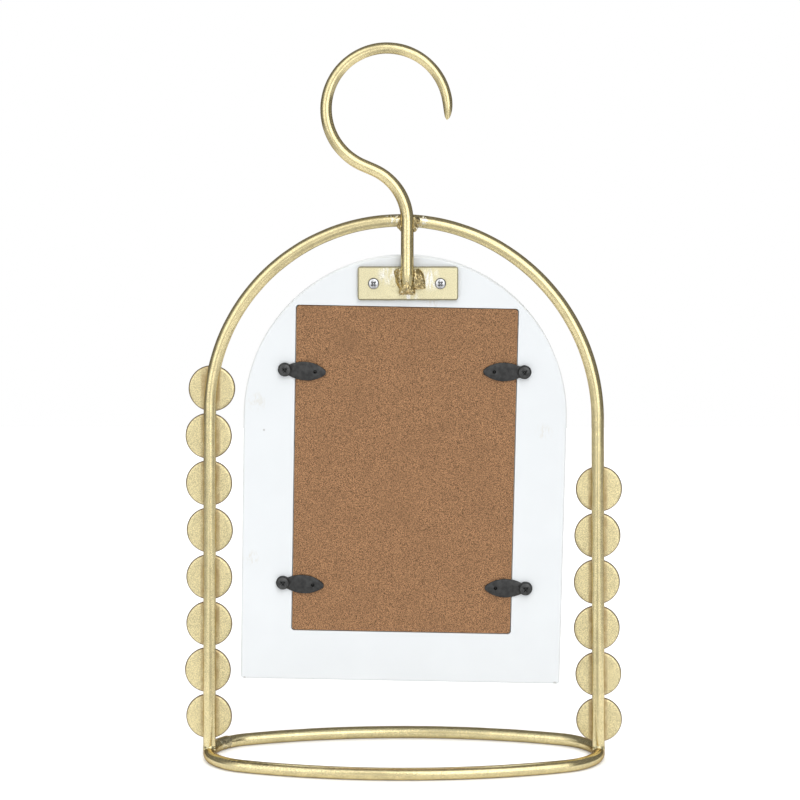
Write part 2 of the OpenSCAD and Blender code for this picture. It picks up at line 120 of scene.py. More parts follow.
class Tree:
    """The nodes of a material or of the world, all added through one method."""

    def __init__(self, owner):
        owner.use_nodes = True
        self.nodes, self.links = owner.node_tree.nodes, owner.node_tree.links
        self.nodes.clear()

    def add(self, kind, settings=None, *values, out=0, at=None, **named):
        """A node with its settings and its sockets' values or links, given in order, by
        number or by name. Gives back one of its outputs."""
        node = self.nodes.new(kind)
        for key, value in (settings or {}).items():
            setattr(node, key, value)
        sockets = at or dict(enumerate(values))
        sockets.update((name.replace("_", " "), value) for name, value in named.items())
        for key, value in sockets.items():
            self.plug(node.inputs[key], value)
        return Signal(self, node.outputs[out]) if len(node.outputs) else None

    def plug(self, socket, value):
        if isinstance(value, Signal):
            self.links.new(value.socket, socket)
            return
        if socket.type == "RGBA" and len(value) == 3:
            value = (*value, 1.0)
        socket.default_value = value

    def place(self):
        """Where a point lies on the resting object, in metres."""
        return self.add("ShaderNodeTexCoord", out="Object")

    def part(self, axis, vector=None):
        """The X, Y or Z of a vector, or else of the place."""
        return self.add("ShaderNodeSeparateXYZ", None, vector or self.place(), out=axis)

    def vector(self, operation, a, b, out="Vector"):
        return self.add("ShaderNodeVectorMath", {"operation": operation}, a, b, out=out)

    def stretch(self, scale):
        """The object's own place, squeezed along its axes."""
        return self.vector("MULTIPLY", self.place(), scale)

    def grain(self, size, detail=2.0, rough=0.5, where=None):
        """Cloudy noise from 0 to 1 whose clouds are about size metres across."""
        return self.add("ShaderNodeTexNoise", {"noise_dimensions": "3D"}, out="Fac",
                        Vector=where or self.place(), Scale=1.0 / size, Detail=detail, Roughness=rough)

    def fade(self, value, start, end, low=0.0, high=1.0):
        """Goes smoothly from low at start to high at end."""
        return self.add("ShaderNodeMapRange", {"interpolation_type": "SMOOTHSTEP"},
                        value, start, end, low, high)

    def apart(self, value, start, end):
        """Goes smoothly from 0 at start to 1 at end, on both sides of zero alike."""
        return self.fade(value * value, start ** 2, end ** 2)

    def blend(self, amount, a, b):
        """Mixes two colours."""
        return self.add("ShaderNodeMix", {"data_type": "RGBA"}, out=MIX_RESULT,
                        at={MIX_AMOUNT: amount, MIX_A: a, MIX_B: b})

    def spot(self, x, y, z, inner, outer):
        """1 within inner mm of a point and 0 beyond outer mm of it."""
        gap = self.vector("DISTANCE", self.place(), (x * MM, y * MM, z * MM), "Value")
        return self.fade(gap, outer * MM, inner * MM)

    def facing(self):
        """How squarely a surface faces along Y, from 1 at the back to -1 at the front."""
        return self.part("Y", self.add("ShaderNodeTexCoord", out="Normal"))

    def faces_along(self, low=0.25, high=0.75):
        """1 where a surface faces along Y, either way, and 0 on a side or a steep wall."""
        facing = self.facing()
        return self.fade(facing * facing, low, high)

    def ray(self, kind):
        """1 where the surface is seen by this kind of ray, such as Is Camera Ray."""
        return self.add("ShaderNodeLightPath", out=kind)

    def seen_along(self, way):
        """How squarely the world is seen in a direction, from 1 to -1."""
        return self.vector("DOT_PRODUCT", self.add("ShaderNodeTexCoord", out="Generated"), way, "Value")

    def panel(self, swing, wide, low, high):
        """1 inside an upright soft panel that spans wide degrees each way of a direction
        swung from +Y toward -X, between two heights in degrees. 0 well outside it."""
        swing = radians(swing)
        ahead = self.seen_along((-sin(swing), cos(swing), 0.0))
        across = self.seen_along((cos(swing), sin(swing), 0.0))
        up = self.seen_along((0.0, 0.0, 1.0))
        return (self.apart(across, sin(radians(wide + 6)), sin(radians(wide - 3)))
                * self.fade(ahead, 0.0, 0.1)
                * self.fade(up, sin(radians(low - 6)), sin(radians(low + 6)))
                * self.fade(up, sin(radians(high + 6)), sin(radians(high - 6))))

    def patch(self, height, swing, inner, outer):
        """1 where the world is seen within inner degrees of a direction, 0 beyond outer
        degrees. The direction is height degrees up, and swung from +Y toward -X."""
        along = self.seen_along(direction(radians(height), radians(swing)))
        return self.fade(along, cos(radians(outer)), cos(radians(inner)))

    def bump(self, height, depth, strength):
        """A normal for relief of the given depth in metres."""
        return self.add("ShaderNodeBump", None, Height=height, Distance=depth, Strength=strength)


def direction(height, swing):
    """A direction at a height above the horizon, swung from +Y toward -X."""
    return -sin(swing) * cos(height), cos(swing) * cos(height), sin(height)


def surface(name, color, paint, clear=False):
    """A material called name. paint(tree) returns what varies, as inputs of its shader.
    A clear one lets the light of the lamps through to what lies behind it."""
    material = bpy.data.materials.new(name)
    tree = Tree(material)
    shader = tree.add("ShaderNodeBsdfPrincipled", None, **{"Base Color": color, **paint(tree)})
    if clear:
        through = tree.add("ShaderNodeBsdfTransparent", None, color)
        lit = tree.ray("Is Shadow Ray") + tree.ray("Is Diffuse Ray")
        shader = tree.add("ShaderNodeMixShader", None, lit, shader, through)
    tree.add("ShaderNodeOutputMaterial", None, shader)
    material.diffuse_color = (*color[:3], 1.0)
    return material


def shade(color, amount):
    """A colour made lighter or darker."""
    return tuple(min(1.0, part * amount) for part in color[:3])


# Paints

# Where the welds threw spatter over the paint, with near-white flecks there as painted glints: x, y, z
# and reach in mm
SPATTER_GLINTS = ((6.2, 2, 259.8, 4.4), (3.5, 3, 259.5, 2.4), (-9.0, 2.5, 258.8, 3.2), (-7.0, 3, 255, 2.4),
           (-92.3, 0, 8.3, 3.2), (93.6, 0, 8.5, 3.6))


def spatter_glints(tree, tone, size):
    """Lays near-white flecks round the welds over a tone: the weld spatter, painted as glints."""
    near = 0.0
    for x, y, z, reach in SPATTER_GLINTS:
        near = tree.spot(x, y, z, 0.35 * reach, reach) + near
    flecks = tree.fade(tree.grain(size, 2.0, 0.6), 0.5, 0.58)
    return tree.blend(near * flecks, tone, (0.99, 0.97, 0.82))


def gilt_grain(tree, settings):
    """The fine grain of the gold paint, and its slow clouds."""
    fine = tree.fade(tree.grain(settings.grain, 2.0, 0.6), 0.36, 0.64)
    return fine, tree.fade(tree.grain(5 * MM, 3.0), 0.3, 0.7)


def rod_paint(settings):
    """Satin gold paint: a fine metallic grain over slow clouds of tone, worn brown along
    one stretch of the base ring. It goes brown, not white, where it is seen edge on."""
    color = settings.gilt

    def paint(tree):
        fine, clouds = gilt_grain(tree, settings)
        tone = tree.blend(fine * 0.75 + clouds * 0.25, shade(color, 0.74), shade(color, 1.22))
        scraped = tree.fade(tree.grain(0.8 * MM, 4.0, 0.65, tree.stretch((0.4, 1.0, 1.0))), 0.42, 0.56)
        stretch = tree.spot(78, 24, 6, 3, 9) + tree.spot(66, 27.5, 6, 3, 9)
        upper = tree.fade(tree.part("Z"), 3.6 * MM, 5 * MM)
        tone = tree.blend(scraped * stretch * upper * 0.75, tone, shade(color, 0.35))
        return {
            # Near-white flecks round the welds are painted glints on the weld spatter
            "Base Color": spatter_glints(tree, tone, 1.1 * MM),
            "Metallic": settings.metallic,
            "Specular Tint": settings.edge,
            "Roughness": tree.fade(fine, 0.0, 1.0, settings.roughness + 0.03, settings.roughness - 0.03),
            "Normal": tree.bump(fine * 0.2 + clouds, 0.04 * MM, 0.6),
            "Coat Weight": 0.25,
            "Coat Roughness": 0.1,
        }

    return surface("gilt paint", color, paint)


def disc_paint(settings):
    """The same gold paint, but sandier, with painted shade on the rim's sides and a brown stripe of
    painted shade and reflection beside each leg.
    """
    color = settings.disc

    # How far a leg leans in for each metre that it rises
    lean = 0.011

    def paint(tree):
        fine, clouds = gilt_grain(tree, settings)
        tone = tree.blend(fine * 0.85 + clouds * 0.15, shade(color, 0.68), shade(color, 1.23))
        across = tree.part("X")
        beside = across.math("ABSOLUTE", across) + tree.part("Z") * lean - FOOT * MM
        # Painted shade and reflection of the leg: a brown stripe on the disc close beside it
        leg_shade = tree.apart(beside, 5.0 * MM, 3.8 * MM) * tree.fade(tree.facing(), 0.0, 0.4)
        tone = tree.blend(leg_shade * (0.3 + clouds * 0.5), tone, (0.42, 0.29, 0.14))
        return {
            # Painted shade: the rim's sides, seen edge on, are darkened by the way they face
            "Base Color": tree.blend(tree.faces_along(0.55, 0.86), shade(settings.edge, 0.5), tone),
            "Metallic": settings.metallic * 0.75,
            "Specular Tint": settings.edge,
            "Roughness": tree.fade(fine, 0.0, 1.0, settings.roughness + 0.15, settings.roughness + 0.09),
            "Normal": tree.bump(fine * 0.6 + clouds, 0.014 * MM, 0.6),
        }

    return surface("disc paint", color, paint)


def weld_paint(settings, name, color):
    """Gold paint over rough beads: brown in patches, with painted shade in the hollows and painted
    highlights on the crests.
    """

    def paint(tree):
        patches = tree.grain(1.5 * MM, 3.0, 0.6)
        crests = tree.add("ShaderNodeNewGeometry", out="Pointiness")
        tone = tree.blend(tree.fade(patches, 0.36, 0.64), shade(color, 0.6), shade(color, 1.3))
        # Painted shade: the hollows of the beads go dark
        tone = tree.blend(tree.fade(crests, 0.5, 0.4), tone, shade(color, 0.3))
        # Painted highlight: the crests of the beads go near-white
        tone = tree.blend(tree.fade(crests, 0.515, 0.575), tone, (0.97, 0.93, 0.72))
        return {
            # Near-white flecks round the welds are painted glints on the weld spatter
            "Base Color": spatter_glints(tree, tone, 0.9 * MM),
            "Metallic": settings.metallic,
            "Specular Tint": settings.edge,
            "Roughness": tree.fade(patches, 0.3, 0.7, 0.34, 0.2),
            "Normal": tree.bump(tree.grain(0.6 * MM, 2.0, 0.7), 0.03 * MM, 0.5),
        }

    return surface(name, color, paint)


def plate_paint(settings):
    """Pale gold paint, scuffed white beside the weld and brushed with faint scratches, with painted shade
    along its rounded edges.
    """
    color = settings.plate

    def paint(tree):
        fine = tree.grain(settings.grain * 1.2, 3.0, 0.6)
        scuffs = (tree.spot(7.5, 3, 233, 1.5, 6) + tree.spot(-12.5, 3, 231, 2, 6.5)
                  + tree.spot(-3, 3, 222.5, 1, 4.5))
        streaks = tree.grain(1.2 * MM, 3.0, 0.6, tree.stretch((1.0, 1.0, 0.22)))
        lines = tree.grain(0.9 * MM, 2.0, 0.6, tree.stretch((0.5, 1.0, 1.6)))
        tone = tree.blend(tree.fade(fine, 0.36, 0.64), shade(color, 0.7), shade(color, 1.16))
        tone = tree.blend(tree.fade(streaks, 0.4, 0.6) * scuffs, tone, (0.99, 0.98, 0.9))
        scratched = tree.fade(lines, 0.58, 0.64) * tree.spot(9, 3, 231, 2, 6) * 0.7
        tone = tree.blend(scratched, tone, shade(color, 0.5))
        # Painted shade: a dark line all round the plate where its edges round over
        middle = tree.vector("SUBTRACT", tree.place(), (-1.8 * MM, 0, 229 * MM))
        rim = (tree.apart(tree.part("X", middle), 22.65 * MM, 23.0 * MM)
               + tree.apart(tree.part("Z", middle), 7.05 * MM, 7.4 * MM))
        return {
            "Base Color": tree.blend(rim * 0.85, tone, shade(color, 0.28)),
            "Metallic": settings.metallic * 0.6,
            "Roughness": tree.fade(fine, 0.25, 0.75, settings.roughness + 0.1, settings.roughness),
            "Normal": tree.bump(fine + lines * 0.5, 0.05 * MM, 0.6),
        }

    return surface("pale gilt paint", color, paint)


def white_paint(settings):
    """Matt white paint on fibreboard, faintly rolled, with a few scuffs."""
    color = settings.board

    def paint(tree):
        roller = tree.grain(0.9 * MM, 3.0, 0.6)
        clouds = tree.grain(30 * MM, 2.0)
        smears = tree.fade(tree.grain(1.6 * MM, 3.0, 0.6, tree.stretch((1.6, 1.0, 0.5))), 0.45, 0.62)
        rubbed = (tree.spot(-65.9, 1, 158.5, 1, 5) + tree.spot(69, 1, 173, 1, 6)
                  + tree.spot(72, 1, 98, 1, 5) + tree.spot(-13, 1, 219.5, 1, 5))
        dots = (tree.spot(65.9, 1, 159.5, 0.3, 0.7) + tree.spot(76, 1, 40, 0.3, 0.9)
                + tree.spot(-71.9, 1, 37, 0.4, 1.4))
        base = tree.blend(tree.fade(clouds, 0.3, 0.7), shade(color, 0.985), shade(color, 1.01))
        base = tree.blend(rubbed * smears * 0.5, base, (0.72, 0.7, 0.64))
        return {
            "Base Color": tree.blend(dots * 0.6, base, (0.4, 0.39, 0.37)),
            "Roughness": 0.55,
            "Normal": tree.bump(roller, 0.03 * MM, 0.4),
        }

    return surface("white board paint", color, paint)


def brown_hardboard(settings):
    """Bare hardboard: pressed fibres with dark specks."""
    color = settings.hardboard

    def paint(tree):
        fibres = tree.grain(0.36 * MM, 3.0, 0.7)
        clouds = tree.grain(14 * MM, 3.0)
        specks = tree.grain(0.6 * MM, 2.0)
        smudges = tree.spot(28, 3, 199.5, 1, 9) + tree.spot(24, 3, 203.5, 1, 7)
        base = tree.blend(tree.fade(fibres, 0.37, 0.63), shade(color, 0.18), shade(color, 1.68))
        base = tree.blend(tree.fade(clouds, 0.35, 0.7) * 0.25 + smudges * 0.2, base, shade(color, 0.7))
        base = tree.blend(tree.fade(specks, 0.65, 0.71) * 0.85, base, shade(color, 0.12))
        return {
            "Base Color": base,
            "Roughness": 0.8,
            "Normal": tree.bump(fibres, 0.08 * MM, 0.6),
        }

    return surface("bare hardboard", color, paint)


def white_card(settings):
    """Plain card with a soft tooth."""

    def paint(tree):
        tooth = tree.grain(0.5 * MM, 3.0)
        return {
            "Base Color": tree.blend(tree.grain(6 * MM), shade(settings.card, 0.97), settings.card[:]),
            "Roughness": 0.85,
            "Normal": tree.bump(tooth, 0.02 * MM, 0.4),
        }

    return surface("white card", settings.card, paint)


def clear_glass(settings):
    """Clear glass with a breath of haze."""

    def paint(tree):
        haze = tree.grain(20 * MM, 2.0)
        return {
            "Transmission Weight": 1.0,
            "IOR": 1.5,
            "Roughness": tree.fade(haze, 0.3, 0.8, 0.0, 0.02),
        }

    return surface("clear glass", settings.glass, paint, clear=True)


def black_steel(settings, name, rough, steep=(0.3, 0.7), light=1.0):
    """Dull black coating in lighter and darker clouds, with painted shade that darkens walls as steep as
    given.
    """
    color = settings.black

    def paint(tree):
        fine = tree.grain(0.35 * MM, 3.0, 0.6)
        clouds = tree.grain(2.6 * MM, 3.0, 0.6)
        mottle = tree.fade(clouds, 0.3, 0.7) * 0.65 + fine * 0.35
        tone = tree.blend(mottle, shade(color, 0.45 * light), shade(color, 1.6 * light))
        return {
            # Painted shade on steep walls, such as the sides of holes and recesses
            "Base Color": tree.blend(tree.faces_along(*steep), shade(color, 0.1), tone),
            "Metallic": 0.3,
            "Roughness": tree.fade(clouds, 0.3, 0.7, rough + 0.08, rough - 0.08),
            "Normal": tree.bump(fine, 0.03 * MM, 0.5),
        }

    return surface(name, color, paint)


def bright_zinc(settings):
    """Bright plated steel with fine marks, with painted shade in the recess and on the head's steep rim.
    """
    color = settings.zinc

    def paint(tree):
        marks = tree.grain(0.3 * MM, 3.0, 0.6)
        tone = tree.blend(marks, shade(color, 0.7), shade(color, 1.15))
        return {
            # Painted shade where the surface turns steeply away from Y
            "Base Color": tree.blend(tree.faces_along(0.5, 0.85), shade(color, 0.12), tone),
            "Metallic": 1.0,
            "Roughness": tree.fade(marks, 0.3, 0.7, 0.2, 0.34),
            "Normal": tree.bump(marks, 0.03 * MM, 0.5),
        }

    return surface("bright zinc", color, paint)


# Making and placing pieces


def dress(node, material):
    """Gives a solid of the frame its material, with its faces left as they are."""
    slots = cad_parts[node].material_slots
    if not slots:
        raise RuntimeError("no material slot on " + node)
    for entry in slots:
        entry.link = "OBJECT"
        entry.material = material


def loose(name, bm):
    """An object of a bmesh whose points are in metres. The bmesh is used up."""
    bmesh.ops.recalc_face_normals(bm, faces=bm.faces)
    for face in bm.faces:
        face.smooth = True
    mesh = bpy.data.meshes.new(name)
    bm.to_mesh(mesh)
    bm.free()
    mesh.set_sharp_from_angle(angle=SHARP)
    piece = bpy.data.objects.new(name, mesh)
    bpy.context.scene.collection.objects.link(piece)
    return piece


def settle(piece):
    """Works the piece's modifiers into its mesh."""
    bpy.context.view_layer.update()
    shaped = piece.evaluated_get(bpy.context.evaluated_depsgraph_get())
    mesh = bpy.data.meshes.new_from_object(shaped)
    piece.modifiers.clear()
    piece.data = mesh
    mesh.shade_smooth()
    mesh.set_sharp_from_angle(angle=SHARP)
    return piece


def carve(piece, cutter):
    """Cuts one object's volume out of another."""
    cut = piece.modifiers.new("cut", "BOOLEAN")
    cut.operation, cut.solver, cut.object = "DIFFERENCE", "EXACT", cutter
    settle(piece)
    bpy.data.objects.remove(cutter)
    return piece


def even_out(piece, size, smoothing=2):
    """Gives a piece a close, even mesh, with its separate lumps run into one."""
    remesh = piece.modifiers.new("even", "REMESH")
    remesh.mode, remesh.voxel_size = "VOXEL", size
    smooth = piece.modifiers.new("smooth", "SMOOTH")
    smooth.iterations = smoothing
    return settle(piece)


def ripple(piece, size, depth, seed, shift=0.0):
    """Moves each point along its normal by cloudy noise."""
    points = [(point.co.copy(), point.normal.copy()) for point in piece.data.vertices]
    for vertex, (place, normal) in zip(piece.data.vertices, points):
        level = noise.fractal(place / size + Vector((seed, 0.0, 0.0)), 1.0, 2.0, 3)
        vertex.co = place + normal * depth * (level + shift)
    return piece


def copy_of(node, name):
    """A loose copy of one of the frame's solids."""
    piece = bpy.data.objects.new(name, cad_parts[node].data.copy())
    piece.data.materials.clear()
    bpy.context.scene.collection.objects.link(piece)
    return piece


def fit(piece, material, body, node):
    """Puts a finished piece in a solid's stead, on the body that carries it."""
    piece.data.materials.clear()
    piece.data.materials.append(material)
    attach(piece, body)
    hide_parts(node)


def lathe(name, outline, segments, where):
    """Turns an outline of (radius, height) points about Z, then moves it to its place."""
    bm = bmesh.new()
    rings = []
    for radius, height in outline:
        if radius == 0:
            rings.append([bm.verts.new((0.0, 0.0, height))])
            continue
        turns = (2 * pi * k / segments for k in range(segments))
        rings.append([bm.verts.new((radius * cos(a), radius * sin(a), height)) for a in turns])
    for low, high in zip(rings, rings[1:]):
        for k in range(segments):
            m = (k + 1) % segments
            corners = [low[k % len(low)], low[m % len(low)], high[m % len(high)], high[k % len(high)]]
            bm.faces.new(list(dict.fromkeys(corners)))
    bmesh.ops.transform(bm, matrix=where, verts=bm.verts)
    return loose(name, bm)


def prism(name, outline, low, high, where):
    """An outline of (x, y) points drawn up from one height to another."""
    bm = bmesh.new()
    floor, roof = ([bm.verts.new((x, y, z)) for x, y in outline] for z in (low, high))
    bm.faces.new(floor)
    bm.faces.new(roof)
    for k in range(len(outline)):
        bm.faces.new((floor[k - 1], floor[k], roof[k], roof[k - 1]))
    bmesh.ops.transform(bm, matrix=where, verts=bm.verts)
    return loose(name, bm)


def bend(x, y, radius, start, end, pitch=2.0):
    """Points on an arc in a plane, about pitch apart, in mm and degrees."""
    steps = max(2, round(abs(radians(end - start)) * radius / pitch))
    turns = (radians(start + (end - start) * k / steps) for k in range(steps + 1))
    return [(x + radius * cos(a), y + radius * sin(a)) for a in turns]


def sweep(name, line, thickness, place, across, closed=False):
    """A round rod along a line of flat points. thickness(k) is its radius at point k, and
    place and across carry the flat plane into the frame: (x, y) and its normal."""
    bm = bmesh.new()
    spine = [place(*point) for point in line]
    before = [spine[-1] if closed else spine[0], *spine[:-1]]
    after = [*spine[1:], spine[0] if closed else spine[-1]]
    turns = [2 * pi * m / ROD_FACES for m in range(ROD_FACES)]
    rings = []
    for k, middle in enumerate(spine):
        out = (after[k] - before[k]).normalized().cross(across)
        rings.append([bm.verts.new((middle + (out * cos(a) + across * sin(a)) * thickness(k)) * MM)
                      for a in turns])
    for low, high in zip(rings, rings[1:] + rings[:1] if closed else rings[1:]):
        for m in range(ROD_FACES):
            bm.faces.new((low[m - 1], low[m], high[m], high[m - 1]))
    if not closed:
        bm.faces.new(rings[0])
        bm.faces.new(rings[-1])
    return loose(name, bm)


def lumps(name, place, *groups):
    """Joins groups of balls, each given from a place as (x, y, z, radius), all in mm.
    Each group is wrapped tight."""
    bm = bmesh.new()
    for group in groups:
        part = bmesh.new()
        for x, y, z, radius in group:
            middle = (Vector(place) + Vector((x, y, z))) * MM
            bmesh.ops.create_icosphere(part, subdivisions=2, radius=radius * MM,
                                       matrix=Matrix.Translation(middle))
        wrapped = bmesh.ops.convex_hull(part, input=part.verts)
        inside = [item for item in wrapped["geom_interior"] if isinstance(item, bmesh.types.BMVert)]
        bmesh.ops.delete(part, geom=inside, context="VERTS")
        mesh = bpy.data.meshes.new(name)
        part.to_mesh(mesh)
        part.free()
        bm.from_mesh(mesh)
        bpy.data.meshes.remove(mesh)
    return loose(name, bm)


def recess_slot(reach, top, where):
    """The cutter of one slot of a cross recess. It is narrow and short at its floor."""
    bm = bmesh.new()
    corners = []
    for long, half, height in ((0.6 * MM, 0.1 * MM, top - 0.85 * MM), (reach, 0.55 * MM, top + 0.1 * MM)):
        corners += [bm.verts.new((sx * long, sy * half, height))
                    for sx, sy in ((-1, -1), (1, -1), (1, 1), (-1, 1))]
    for ring in ((0, 1, 2, 3), (4, 5, 6, 7), (0, 1, 5, 4), (1, 2, 6, 5), (2, 3, 7, 6), (3, 0, 4, 7)):
        bm.faces.new([corners[k] for k in ring])
    bmesh.ops.transform(bm, matrix=where, verts=bm.verts)
    return loose("cross recess", bm)


def cross_screw(name, node, head, seat):
    """A domed screw with a tapered cross recess, in a solid's place. Its head's seat is
    at the given depth, and its shank runs on to where the solid ends."""
    low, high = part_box(node)
    middle = (low + high) / 2
    where = Matrix.Translation((middle.x, seat, middle.z)) @ FACING
    top, depth, radius, shank = high.y - seat, seat - low.y, head / 2, 1.3 * MM
    lip = 0.3 * top
    tip = [(0, -depth), (0.2 * MM, 0.1 * MM - depth), (shank, 1.4 * MM - depth), (shank, 0)]
    rim = [(radius - 0.15 * MM, 0), (radius, 0.15 * MM), (radius, lip)]
    turns = [radians(9 * k) for k in range(1, 10)]
    dome = [(radius * cos(a), lip + (top - lip) * sin(a)) for a in turns]
    piece = lathe(name, [*tip, *rim, *dome, (0, top)], 64, where)
    for swing in (pi / 4, 3 * pi / 4):
        carve(piece, recess_slot(0.36 * head, top, where @ Matrix.Rotation(swing, 4, "Z")))
    return piece


# What a user may change


def color_of(name, description, default):
    return FloatVectorProperty(name=name, description=description, subtype="COLOR", size=3,
                               min=0, max=1, default=default)


def length_of(name, description, default, least, most):
    return FloatProperty(name=name, description=description, subtype="DISTANCE", unit="LENGTH",
                         min=least, max=most, default=default)


def share_of(name, description, default, least, most):
    return FloatProperty(name=name, description=description, subtype="FACTOR",
                         min=least, max=most, default=default)


def level_of(name, description, default, most):
    return FloatProperty(name=name, description=description, min=0, max=most, default=default)


class PaintSettings(bpy.types.PropertyGroup):
    """Colours and gloss of the paints"""

    gilt: color_of("Gilt", "Gold paint of the rods", (0.80, 0.69, 0.385))
    disc: color_of("Discs", "Gold paint of the discs", (0.795, 0.695, 0.4))
    # The beads' browner gold is partly their own colour and partly painted shade of the welds' dark sides
    bead: color_of("Weld beads", "Browner gold of the weld beads", (0.6, 0.48, 0.24))
    joint: color_of("Ring joint", "Scraped gold paint on the base ring's joint", (0.76, 0.67, 0.42))
    plate: color_of("Plate", "Paler gold paint of the bracket plate", (0.862, 0.79, 0.506))
    edge: color_of("Gilt edge on", "Tint of the gold paint seen edge on", (0.4, 0.265, 0.135))
    metallic: share_of("Metal in the paint", "How metallic the gold paint is", 0.93, 0, 1)
    roughness: share_of("Paint roughness", "Roughness of the gold paint", 0.22, 0.1, 1)
    grain: length_of("Paint grain", "Size of the grain in the gold paint", 0.00042, 0.0001, 0.005)
    board: color_of("Board", "White paint of the board", (0.835, 0.865, 0.885))
    hardboard: color_of("Hardboard", "Bare hardboard back", (0.34, 0.178, 0.083))
    card: color_of("Card", "Blank card behind the glass", (0.90, 0.89, 0.86))
    glass: color_of("Glass", "Tint of the glass", (0.97, 0.99, 0.985))
    black: color_of("Black steel", "Coating of turn buttons and their screws", (0.034, 0.0345, 0.0345))
    zinc: color_of("Zinc", "Plating of the bracket's screws", (0.75, 0.76, 0.78))


class ShapeSettings(bpy.types.PropertyGroup):
    """Sizes of the pieces that are made here"""

    rod: length_of("Rod", "Diameter of the rod", 0.006, 0.004, 0.008)
    rod_wave: length_of("Rod wave", "How far the rod is out of true", 0.00004, 0, 0.0003)
    hook_tip: share_of("Hook tip", "Share of the hook's length that tapers to its nose", 0.07, 0.01, 0.2)
    disc_rim: length_of("Disc rim", "Width of a disc's rounded rim", 0.0015, 0.0002, 0.003)
    disc_wave: length_of("Disc wave", "How far a disc's faces are out of true", 0.00005, 0, 0.0003)
    weld_grain: length_of("Weld mesh", "Size of the mesh of the weld beads", 0.00018, 0.0001, 0.001)
    weld_depth: length_of("Weld relief", "Depth of the folds in the weld beads", 0.00022, 0, 0.001)
    leaf_length: length_of("Button length", "From the screw to the leaf's tip", 0.0194, 0.01, 0.04)
    leaf_width: length_of("Button width", "Greatest width of a leaf", 0.0089, 0.004, 0.02)
    leaf_waist: length_of("Widest place", "From the screw to a leaf's widest place", 0.0098, 0.004, 0.02)
    leaf_eye: length_of("Button eye", "Diameter of a button's round end", 0.0066, 0.004, 0.01)
    leaf_tip: length_of("Button tip", "Radius of a leaf's tip", 0.00175, 0.001, 0.003)
    leaf_hole: length_of("Button hole", "Diameter of the small hole", 0.0015, 0.0005, 0.002)
    leaf_hole_place: length_of("Hole place", "From the screw to the small hole", 0.0142, 0.01, 0.018)
    leaf_crown: length_of("Button crown", "How far a leaf falls off to its edges", 0.0004, 0, 0.0008)


class StudioSettings(bpy.types.PropertyGroup):
    """Floor, light and camera"""

    floor: color_of("Floor", "Colour of the floor", (0.9, 0.9, 0.9))
    surround: color_of("Surround", "Floor before, behind and far beside the frame, as metal sees it",
                       (0.45, 0.45, 0.45))
    room: level_of("Room", "Level of the dim light from all round", 0.16, 2)
    glow: level_of("Glow", "Level of the broad soft light behind the camera", 0.55, 10)
    panel: level_of("Panels", "Level of the two upright soft panels that metal shows", 1.3, 10)
    key: level_of("Key light", "Strength of the soft light behind the camera", 1.0, 20)
    top: level_of("Top light", "Strength of the soft light overhead", 1.35, 20)
    front: level_of("Front light", "Strength of the soft light on the picture's side", 1.3, 20)
    lens: FloatProperty(name="Lens", description="Focal length of the camera",
                        subtype="DISTANCE_CAMERA", min=10, max=500, default=135.5)
    distance: length_of("Camera distance", "From the camera to the frame's middle plane", 1.4, 0.2, 10)
    height: length_of("Camera height", "Height of the camera above the floor", 0.38476, 0, 5)
    pitch: FloatProperty(name="Camera pitch", description="How far the camera looks down",
                         subtype="ANGLE", unit="ROTATION", min=-1.5, max=1.5, default=radians(8.578))


